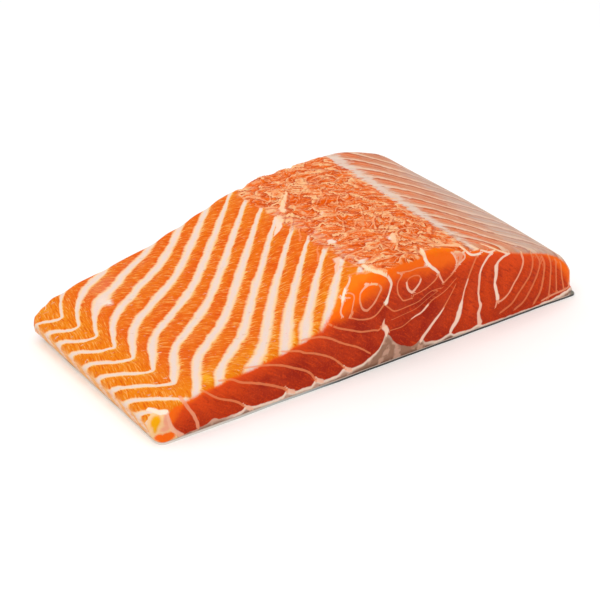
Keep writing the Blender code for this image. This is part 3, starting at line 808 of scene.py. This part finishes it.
# The torn loin, the pale line along the backbone and the back's bands behind it.
PALE_LINE_X = 31.2
PALE_LINE_WIDTH = 1.6
PALE_LINE_SPREAD = 0.02
BACK_START_X = 32.0
BACK_PITCH = 7.4
BACK_SLOPE = 0.62
BACK_FIRST_Y = 3.8
line_width = PALE_LINE_WIDTH + PALE_LINE_SPREAD * (y_top - NEAR_Y) + 0.3 * small_lumps
pale_line = bell(x_top, PALE_LINE_X + 0.3 * lumps, line_width)
back_y = y + BACK_SLOPE * (x_top - BACK_START_X) + 0.5 * lumps - BACK_FIRST_Y
by_near_rim = 0.9 * bell(y_top, NEAR_Y, 9.0) * bell(x_top, 42, 9)
store(flesh, "torn", torn)
store(flesh, "fine_torn", fine_torn)
store(flesh, "hollow", hollow)
store(flesh, "rough", np.where(on_cut, 0.0, rough_start))
store(flesh, "gristle", bell(x_top + 2.0 * lumps, -4.0, 4.0) * smooth_step(28, 16, y_top))
store(flesh, "pale_line", pale_line * (1 - 0.4 * smooth_step(-10, -34, y_top)))
store(flesh, "back", smooth_step(BACK_START_X - 4.5, BACK_START_X, x_top + 0.6 * lumps))
store(flesh, "back_band", back_y / BACK_PITCH)
store(flesh, "back_orange", bell(x_top, 37.0, 4.0) + by_near_rim)
membrane = smooth_step(42.0, 56.0, x_top + 2.0 * lumps) * (1 - 0.6 * smooth_step(16, 34, y))
store(flesh, "membrane", membrane)
store(flesh, "amber", np.maximum(smooth_step(-62, -74, x_top), smooth_step(-22, -34, y_top)))
store(flesh, "on_slope", smooth_step(-69.0, -60.0, x_top))

# Patches of the upper surface: places across and along, half-sizes and strength.
SALMON_PATCHES = (
    (-57.0, 27.0, 7.0, 6.0, 0.8), (-45.0, 30.0, 6.0, 5.0, 0.5), (-53.0, -13.0, 5.0, 5.0, 0.4),
)
GOLD_PATCHES = (
    (-78.0, -34.5, 3.0, 4.0, 1.0), (-59.0, -33.0, 2.0, 3.0, 0.8), (-42.0, -32.5, 3.0, 3.0, 0.7),
    (-32.5, -33.0, 1.8, 3.0, 1.0), (-16.5, -30.0, 2.0, 3.0, 0.5),
)
WHITE_SCRAPS = (
    (-2.5, -12.5, 1.3, 1.9, 1.2), (-3.0, -5.0, 1.4, 1.8, 0.8), (11.5, -22.5, 1.5, 1.9, 1.1),
    (-7.5, -22.0, 1.6, 2.0, 1.0), (-3.0, -28.0, 2.4, 1.4, 1.0), (-2.0, -21.0, 1.5, 1.5, 0.8),
    (5.0, 2.6, 1.6, 1.4, 0.7), (4.5, -20.5, 2.2, 1.2, 0.7), (-60.5, 20.0, 2.2, 4.0, 1.1),
)


def patches(table, u, v):
    """Soft oval patches, each with its place, its half-sizes and its strength."""
    total = np.zeros(len(u))
    for at_u, at_v, half_u, half_v, strength in table:
        total = np.maximum(total, strength * bell(u, at_u, half_u) * bell(v, at_v, half_v))
    return total


# The belly corner of the nearer cut is a pale tip, with patches given as places across and
# heights. The tip ends at a line that slants down and at a steep one.
CORNER_GOLD = ((-77.2, 8.0, 1.9, 2.0, 1.6), (-77.4, 6.0, 1.0, 1.8, 1.2))
CORNER_SALMON = ((-73.4, 7.6, 1.3, 2.6, 1.3), (-74.0, 5.0, 2.2, 1.1, 1.0))
CORNER_ORANGE = ((-74.0, 2.2, 3.0, 1.5, 1.7), (-76.4, 3.0, 1.8, 1.2, 1.3))
by_corner = ~far_half & (past_cut < 4) & (cut_x < -66)
under_line = 12.2 - 0.5 * (cut_x + 79.5) - cut_z
before_line = -73.2 + 0.35 * (9.0 - cut_z) - cut_x
store(flesh, "corner", by_corner * smooth_step(-0.4, 0.4, np.minimum(under_line, before_line)))
store(flesh, "corner_orange", patches(CORNER_ORANGE, cut_x, cut_z))
salmon = np.where(on_cut, 0.0, patches(SALMON_PATCHES, x_top, y_top))
gold = np.where(on_cut, 0.0, patches(GOLD_PATCHES, x_top, y_top))
store(flesh, "salmon", np.where(by_corner, patches(CORNER_SALMON, cut_x, cut_z), salmon))
store(flesh, "gold", np.where(by_corner, patches(CORNER_GOLD, cut_x, cut_z), gold))
store(flesh, "white_scrap", np.where(on_cut, 0.0, patches(WHITE_SCRAPS, x_top, y_top)))

BAND_ORANGE = "#E06C05"
BAND_DEEP = "#DB5405"
BAND_DARK = "#CC4600"
BAND_AMBER = "#E48705"
BAND_GOLD = "#E8A005"
BAND_STREAK = "#EAA655"
BAND_SALMON = "#E0784A"
STRIPE_CORE = "#E3CABE"
STRIPE_CREAM = "#EDC8A0"
FEATHER_YELLOW = "#EDB868"
SIDE_PEACH = "#F0AC66"
SIDE_CREAM = "#EAC4AA"
LOIN_ORANGE = "#E46002"
LOIN_SALMON = "#E27A3E"
LOIN_ROSE = "#D8602C"
# Dark red used as painted shade in the loin's pits and hollows and under its rims.
LOIN_PIT_SHADE = "#B83A06"
LOIN_CREAM = "#F2C490"
LOIN_PEACH = "#EDA672"
TISSUE_WHITE = "#EAD2C2"
GRISTLE_PINK = "#E0A58C"
BACK_SALMON = "#C86C42"
BACK_LIGHT = "#D49470"
# Deep red of the back's fine bands, also used as painted shade just below its pale lines.
BACK_DEEP_AND_SHADE = "#B05028"
BACK_PALE = "#E2B698"
MEMBRANE_PINK = "#B27458"
MEMBRANE_GREY = "#BFADA2"
PALE_LINE = "#DCC6B6"
END_ORANGE = "#DE6428"
CUT_RED = "#B63410"
CUT_DEEP = "#9C220A"
CUT_ORANGE_RED = "#CA3E06"
CUT_WARM = "#E24A10"
# Bright orange, also used as painted light under the cuts' rounded rim.
CUT_BRIGHT = "#F56808"
LINE_PEACH = "#EC8A58"
LINE_WHITE = "#F9E0CC"
CORNER_PEACH = "#EFC08C"
CORNER_PINK = "#ECA080"
FAT_PINK = "#D0A48E"
FAT_BROWN = "#9A725C"
FAT_DARK = "#5E3A2C"

CLOUD_SIZE = 9.0             # sizes of the marbling and of the fibres, in mm
WOBBLE_SIZE = 2.6
GRAIN_SIZE = 0.6
STREAK_SIZE = (2.6, 0.36, 2.6)
SCRAP_SIZE = (3.0, 1.0, 3.0)
FLAP_SIZE = (4.5, 2.8, 4.5)
TATTER_SIZE = (2.2, 0.8, 2.2)
SHEEN_SIZE = (6.0, 0.7, 6.0)
CUT_STREAK_SIZE = (4.0, 4.0, 0.7)
SLOPE_FIBRE_TURN = (0.0, 0.0, math.radians(-35.0))
BELLY_FIBRE_TURN = (0.0, 0.0, math.radians(80.0))
FLAKE_TURN = (0.0, 0.0, FLAKE_ANGLE)
BACK_FIBRE_TURN = (0.0, 0.0, -math.atan(BACK_SLOPE))
CUT_FIBRE_TURN = (0.0, math.radians(38.0), 0.0)

raw_trout = bpy.data.materials.new("raw_trout_flesh")
raw_trout.use_nodes = True
tree = raw_trout.node_tree
tree.nodes.clear()
# Wet muscle: orange fibres with white tissue between the bands, light sinking in a little.
place = add(tree, "Attribute", "Vector", {}, attribute_name="place")
mark = {
    layer.name: add(tree, "Attribute", "Fac", {}, attribute_name=layer.name)
    for layer in flesh.data.attributes if layer.data_type == "FLOAT"
}
clouds, wobble, grain = (
    add(tree, "TexNoise", "Fac", {"Vector": place, "Scale": 1 / size, "Detail": detail})
    for size, detail in ((CLOUD_SIZE, 3.0), (WOBBLE_SIZE, 2.0), (GRAIN_SIZE, 2.0))
)


def fibres(turn, size):
    """Streaks: noise turned about the axes and drawn out to a size along each."""
    turned = add(tree, "Mapping", 0, {"Vector": place, "Rotation": turn, "Scale": size},
                 vector_type="TEXTURE")
    sockets = {"Vector": turned, "Scale": 1.0, "Detail": 3.0, "Roughness": 0.6}
    return add(tree, "TexNoise", "Fac", sockets)


belly_streak = fibres(BELLY_FIBRE_TURN, STREAK_SIZE)
slope_streak = fibres(SLOPE_FIBRE_TURN, STREAK_SIZE)
streak = add(tree, "Mix", 0, {0: mark["on_slope"], 2: belly_streak, 3: slope_streak})
scraps, flaps, tatters = (fibres(FLAKE_TURN, size) for size in (SCRAP_SIZE, FLAP_SIZE, TATTER_SIZE))

# Marks that the marbling or the fibres make uneven, and by how much.
UNEVEN = {
    "band": (wobble, 0.16), "torn": (scraps, 0.8), "fine_torn": (scraps, 1.2),
    "back_band": (wobble, 0.25), "back": (tatters, 2.4), "pale_line": (tatters, 2.4),
    "warm": (clouds, 0.3), "bright": (wobble, 0.5), "fat_edge": (wobble, 1.0),
    "gold": (grain, 0.4), "corner_orange": (grain, 0.4),
    "end_rim": (wobble, 6.0), "cut_rim": (grain, 0.8),
}
uneven = {
    name: add(tree, "Math", 0, {0: noise_socket, 1: amount, 2: mark[name]}, operation="MULTIPLY_ADD")
    for name, (noise_socket, amount) in UNEVEN.items()
}

# Bands of the slope: amber beside the tissue above them, deeper orange towards the next.
band_share = add(tree, "Math", 0, {0: uneven["band"]}, operation="FRACT")
band_colour = paint(
    tree, BAND_AMBER,
    (BAND_ORANGE, band_share, 0.1, 0.42, 1.0),
    (BAND_DEEP, band_share, 0.5, 0.9, 0.5),
    (BAND_DEEP, clouds, 0.48, 0.68, 0.6),
    (BAND_AMBER, mark["amber"], 0.0, 1.0, 0.6),
    (BAND_SALMON, mark["salmon"], 0.1, 0.9, 0.8),
    (BAND_GOLD, mark["gold"], 0.2, 0.8, 0.9),
    (BAND_DARK, streak, 0.47, 0.33, 0.7),
    (BAND_STREAK, streak, 0.52, 0.68, 0.8),
)

# White tissue: crisp on its upper side, feathered along the fibres on the lower one.
offset = add(tree, "Math", 0, {0: uneven["band"], 1: 0.58, 2: -0.42}, operation="WRAP")
offset = add(tree, "Math", 0, {0: offset, 1: 0.08}, operation="SUBTRACT")
reach = add(tree, "Math", 0, {0: offset, 1: mark["stripe_width"]}, operation="DIVIDE")
feather = add(tree, "Math", 0, {0: reach, 1: -0.2, 2: streak}, operation="MULTIPLY_ADD")
feather = add(tree, "Math", 0, {0: feather, 1: reach}, operation="MINIMUM")
ragged = add(tree, "Math", 0, {0: streak, 1: 0.5, 2: reach}, operation="MULTIPLY_ADD")
ragged = add(tree, "Math", 0, {0: ragged, 1: 0.25}, operation="SUBTRACT")
ragged = add(tree, "Math", 0, {0: ragged}, operation="ABSOLUTE")
side_colour = paint(
    tree, SIDE_CREAM,
    (SIDE_PEACH, ragged, 0.6, 1.3, 1.0),
    (BAND_AMBER, streak, 0.55, 0.4, 0.5),
)
slope_colour = paint(
    tree, band_colour,
    (FEATHER_YELLOW, feather, 0.16, 0.34, 0.85),
    (STRIPE_CREAM, ragged, 1.4, 0.75, 1.0),
    (STRIPE_CORE, ragged, 0.8, 0.3, 1.0),
    (side_colour, mark["side"], 0.3, 0.9, 1.0),
)

# Torn loin: each flake has a cream rim, a salmon top and an orange foot. The dark red laid where the
# lift is low, in the hollows, at the foot of each flake and beside each rim is painted shade.
torn_part = add(tree, "Math", 0, {0: uneven["torn"], 1: 0.4}, operation="SUBTRACT")
torn_part = add(tree, "Math", 0, {0: torn_part}, operation="FRACT")
fine_part = add(tree, "Math", 0, {0: uneven["fine_torn"]}, operation="FRACT")
lift = add(tree, "Math", 0, {0: flaps, 1: tatters}, operation="ADD")
lift = add(tree, "Math", 0, {0: grain, 1: 0.4, 2: lift}, operation="MULTIPLY_ADD")
fine_rim = add(tree, "Math", 0, {0: tatters, 1: 0.5, 2: fine_part}, operation="MULTIPLY_ADD")
flake_rim = add(tree, "Math", 0, {0: tatters, 1: 0.4, 2: torn_part}, operation="MULTIPLY_ADD")
rim_shadow = add(tree, "Math", 0, {0: mark["line_side"], 1: 2.4}, operation="ADD")
rim_shadow = add(tree, "Math", 0, {0: rim_shadow}, operation="ABSOLUTE")
gristle = add(tree, "Math", 0, {0: mark["gristle"], 1: scraps}, operation="MULTIPLY")
loin_colour = paint(
    tree, LOIN_ORANGE,
    (LOIN_SALMON, lift, 1.18, 1.32, 1.0),
    (LOIN_ROSE, clouds, 0.5, 0.62, 0.4),
    (LOIN_PIT_SHADE, lift, 1.16, 1.02, 0.7),
    (LOIN_ORANGE, mark["hollow"], -0.1, 0.15, 0.7),
    (LOIN_PIT_SHADE, mark["hollow"], 0.25, 1.0, 0.3),
    (LOIN_PIT_SHADE, torn_part, 0.75, 0.97, 0.85),
    (LOIN_PIT_SHADE, fine_part, 0.78, 0.95, 0.6),
    (LOIN_CREAM, lift, 1.3, 1.46, 0.8),
    (LOIN_PEACH, fine_rim, 0.6, 0.2, 0.8),
    (LOIN_PEACH, flake_rim, 0.6, 0.3, 0.8),
    (LOIN_CREAM, flake_rim, 0.4, 0.25, 0.8),
    (LOIN_PIT_SHADE, rim_shadow, 1.2, 0.4, 0.5),
    (GRISTLE_PINK, gristle, 0.4, 0.65, 0.5),
)

# The back under its thin grey membrane, and the pale line along the backbone. The deep red just below
# each pale band line is painted shade.
back_sheen = fibres(BACK_FIBRE_TURN, SHEEN_SIZE)
back_wave = add(tree, "Math", 0, {0: back_sheen, 1: 0.35, 2: uneven["back_band"]},
                operation="MULTIPLY_ADD")
back_part = add(tree, "Math", 0, {0: back_wave}, operation="FRACT")
fine_band = add(tree, "Math", 0, {0: back_wave, 1: 3.0}, operation="MULTIPLY")
fine_band = add(tree, "Math", 0, {0: fine_band, 1: 0.5}, operation="PINGPONG")
back_orange = add(tree, "Math", 0, {0: back_part, 1: mark["back_orange"]}, operation="MULTIPLY")
pale = add(tree, "Math", 0, {0: wobble, 1: uneven["pale_line"]}, operation="ADD")
under_membrane = paint(tree, MEMBRANE_PINK, (MEMBRANE_GREY, back_sheen, 0.36, 0.58, 1.0))
back_colour = paint(
    tree, BACK_SALMON,
    (BACK_LIGHT, clouds, 0.4, 0.65, 0.6),
    (LOIN_ORANGE, back_orange, 0.15, 0.6, 0.8),
    (under_membrane, mark["membrane"], 0.0, 1.0, 0.85),
    (BACK_DEEP_AND_SHADE, fine_band, 0.45, 0.9, 0.5),
    (BACK_LIGHT, fine_band, 0.5, 0.05, 0.6),
    # Painted shade just below each pale line of the back.
    (BACK_DEEP_AND_SHADE, back_part, 0.72, 0.88, 0.8),
    (BACK_PALE, back_part, 0.25, 0.1, 1.0),
    (BACK_PALE, back_part, 0.93, 0.98, 1.0),
    (MEMBRANE_GREY, mark["membrane"], 0.3, 1.2, 0.4),
    (PALE_LINE, pale, 1.85, 2.6, 0.85),
)

# The cut faces: orange under the rim, deep red below, and fat underneath. The orange under the rim is
# partly painted light on the rounded rim.
cut_streak = fibres(CUT_FIBRE_TURN, CUT_STREAK_SIZE)
lobe = add(tree, "Math", 0, {0: mark["line_gap"], 1: mark["orange_muscle"]}, operation="MULTIPLY")
warm = add(tree, "Math", 0, {0: cut_streak, 1: 0.5, 2: uneven["warm"]}, operation="MULTIPLY_ADD")
fat_low = paint(
    tree, FAT_PINK,
    (FAT_BROWN, mark["fat_brown"], 0.0, 1.0, 1.0),
    (FAT_DARK, mark["low"], 0.98, 1.12, 0.6),
    (FAT_PINK, wobble, 0.5, 0.65, 0.7),
)
fat_top = paint(tree, fat_low, (LINE_WHITE, mark["fat_white"], 0.0, 1.0, 0.8))
fat_colour = paint(tree, fat_low, (fat_top, uneven["fat_edge"], -0.9, 0.1, 1.0))
cut_colour = paint(
    tree, CUT_RED,
    (CUT_DEEP, clouds, 0.42, 0.62, 1.0),
    (CUT_ORANGE_RED, mark["orange_muscle"], 0.0, 1.0, 0.7),
    (CUT_WARM, lobe, 2.0, 9.0, 0.45),
    (CUT_DEEP, mark["low"], 0.2, 1.0, 0.5),
    (CUT_DEEP, cut_streak, 0.46, 0.34, 0.6),
    (CUT_WARM, cut_streak, 0.54, 0.68, 0.5),
    (CUT_DEEP, grain, 0.48, 0.34, 0.35),
    (CUT_WARM, grain, 0.54, 0.68, 0.35),
    (CUT_WARM, warm, 0.7, 1.4, 1.0),
    # Orange and amber towards the rim: partly painted light where the rounded rim faces the lamp.
    (CUT_BRIGHT, uneven["bright"], 0.1, 0.9, 1.0),
    (BAND_AMBER, uneven["bright"], 1.0, 1.5, 0.5),
    (fat_colour, uneven["fat_edge"], 0.8, 0.35, 1.0),
)

# The pale tip at the belly corner of the nearer cut.
corner_colour = paint(
    tree, CORNER_PEACH,
    (CORNER_PINK, mark["salmon"], 0.2, 0.9, 1.0),
    (BAND_GOLD, uneven["gold"], 0.5, 1.3, 1.0),
    (CUT_BRIGHT, uneven["corner_orange"], 0.5, 1.2, 1.0),
)

# All the zones together, with the drawn lines of tissue over them.
scrap = add(tree, "Math", 0, {0: mark["white_scrap"], 1: scraps}, operation="MULTIPLY")
line_reach = add(tree, "Math", 0, {0: mark["line_side"]}, operation="ABSOLUTE")
line_reach = add(tree, "Math", 0, {0: line_reach, 1: mark["line_gap"]}, operation="MAXIMUM")
line_colour = paint(
    tree, LINE_PEACH,
    (LINE_WHITE, mark["line_white"], 0.3, 0.9, 1.0),
    (LOIN_CREAM, mark["rough"], 0.2, 0.7, 0.6),
)
zone_colour = paint(
    tree, slope_colour,
    (loin_colour, mark["rough"], 0.2, 0.7, 1.0),
    (back_colour, uneven["back"], 1.5, 1.85, 1.0),
    (TISSUE_WHITE, scrap, 0.2, 0.5, 1.0),
    (END_ORANGE, uneven["end_rim"], -3.0, 6.0, 0.7),
    (cut_colour, uneven["cut_rim"], 0.1, 1.3, 1.0),
    (corner_colour, mark["corner"], 0.1, 0.9, 1.0),
)
lined_colour = paint(tree, zone_colour, (line_colour, line_reach, 1.3, 0.7, 1.0))
flesh_colour = paint(tree, zone_colour, (lined_colour, mark["line_white"], -0.5, 0.8, 1.0))

bump_height = add(tree, "Math", 0, {0: grain, 1: 0.4, 2: streak}, operation="MULTIPLY_ADD")
bump_height = add(tree, "Math", 0, {0: scraps, 1: mark["rough"], 2: bump_height},
                  operation="MULTIPLY_ADD")
bump = add(tree, "Bump", 0, {"Height": bump_height, "Strength": 0.4, "Distance": 0.0003})
shader = add(tree, "BsdfPrincipled", 0, {
    "Base Color": flesh_colour, "Normal": bump, "Roughness": 0.45, "IOR": 1.38,
    "Specular IOR Level": 0.1, "Subsurface Weight": 0.2, "Subsurface Scale": 0.0012,
    "Subsurface Radius": (1.0, 0.35, 0.15),
})
add(tree, "OutputMaterial", None, {"Surface": shader})
flesh.data.materials.append(raw_trout)

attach(flesh, "root")
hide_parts(FLESH_NODE)

# ---------------------------------------------------------------------------
# Studio. A plain pale floor, a large soft lamp above the belly side, and even
# light all round. The camera looks down on the nearer cut and the belly side.
# ---------------------------------------------------------------------------

FLOOR_SIZE = 6.0
FLOOR_COLOUR = "#FAFAF8"
ROOM_COLOUR = "#FFFFFF"
ROOM_STRENGTH = 0.72
LAMP_SIZE = 1.4
LAMP_POWER = 13.5
LAMP_PLACE = (-0.45, -0.2, 1.4)
CAMERA_PLACE = (-0.2394, -0.3302, 0.2170)
CAMERA_AZIMUTH = math.radians(-35.416)
CAMERA_ELEVATION = math.radians(27.363)
LENS = 90.0
SENSOR = 36.0

bpy.ops.mesh.primitive_plane_add(size=FLOOR_SIZE, location=(0.0, 0.0, 0.0))
floor = bpy.context.active_object
floor.name = "floor"
matt_white = bpy.data.materials.new("matt_white_board")
matt_white.use_nodes = True
board = matt_white.node_tree.nodes["Principled BSDF"]
board.inputs["Base Color"].default_value = linear(FLOOR_COLOUR)
board.inputs["Roughness"].default_value = 0.9
floor.data.materials.append(matt_white)

room = bpy.data.worlds.new("studio")
room.use_nodes = True
background = room.node_tree.nodes["Background"]
background.inputs["Color"].default_value = linear(ROOM_COLOUR)
background.inputs["Strength"].default_value = ROOM_STRENGTH
bpy.context.scene.world = room

lamp_data = bpy.data.lights.new("soft_lamp", "AREA")
lamp_data.shape = "SQUARE"
lamp_data.size = LAMP_SIZE
lamp_data.energy = LAMP_POWER
lamp = bpy.data.objects.new("soft_lamp", lamp_data)
lamp.location = LAMP_PLACE
lamp.rotation_mode = "QUATERNION"
lamp.rotation_quaternion = (-Vector(LAMP_PLACE)).to_track_quat("-Z", "Y")
bpy.context.scene.collection.objects.link(lamp)

camera_data = bpy.data.cameras.new("camera")
camera_data.lens = LENS
camera_data.sensor_width = SENSOR
camera_data.clip_start = 0.01
camera_data.clip_end = 20.0
camera = bpy.data.objects.new("camera", camera_data)
toward = Vector((
    math.sin(CAMERA_AZIMUTH) * math.cos(CAMERA_ELEVATION),
    -math.cos(CAMERA_AZIMUTH) * math.cos(CAMERA_ELEVATION),
    math.sin(CAMERA_ELEVATION),
))
camera.location = CAMERA_PLACE
camera.rotation_mode = "QUATERNION"
camera.rotation_quaternion = (-toward).to_track_quat("-Z", "Y")
bpy.context.scene.collection.objects.link(camera)
bpy.context.scene.camera = camera
bpy.context.scene.view_settings.view_transform = "Standard"
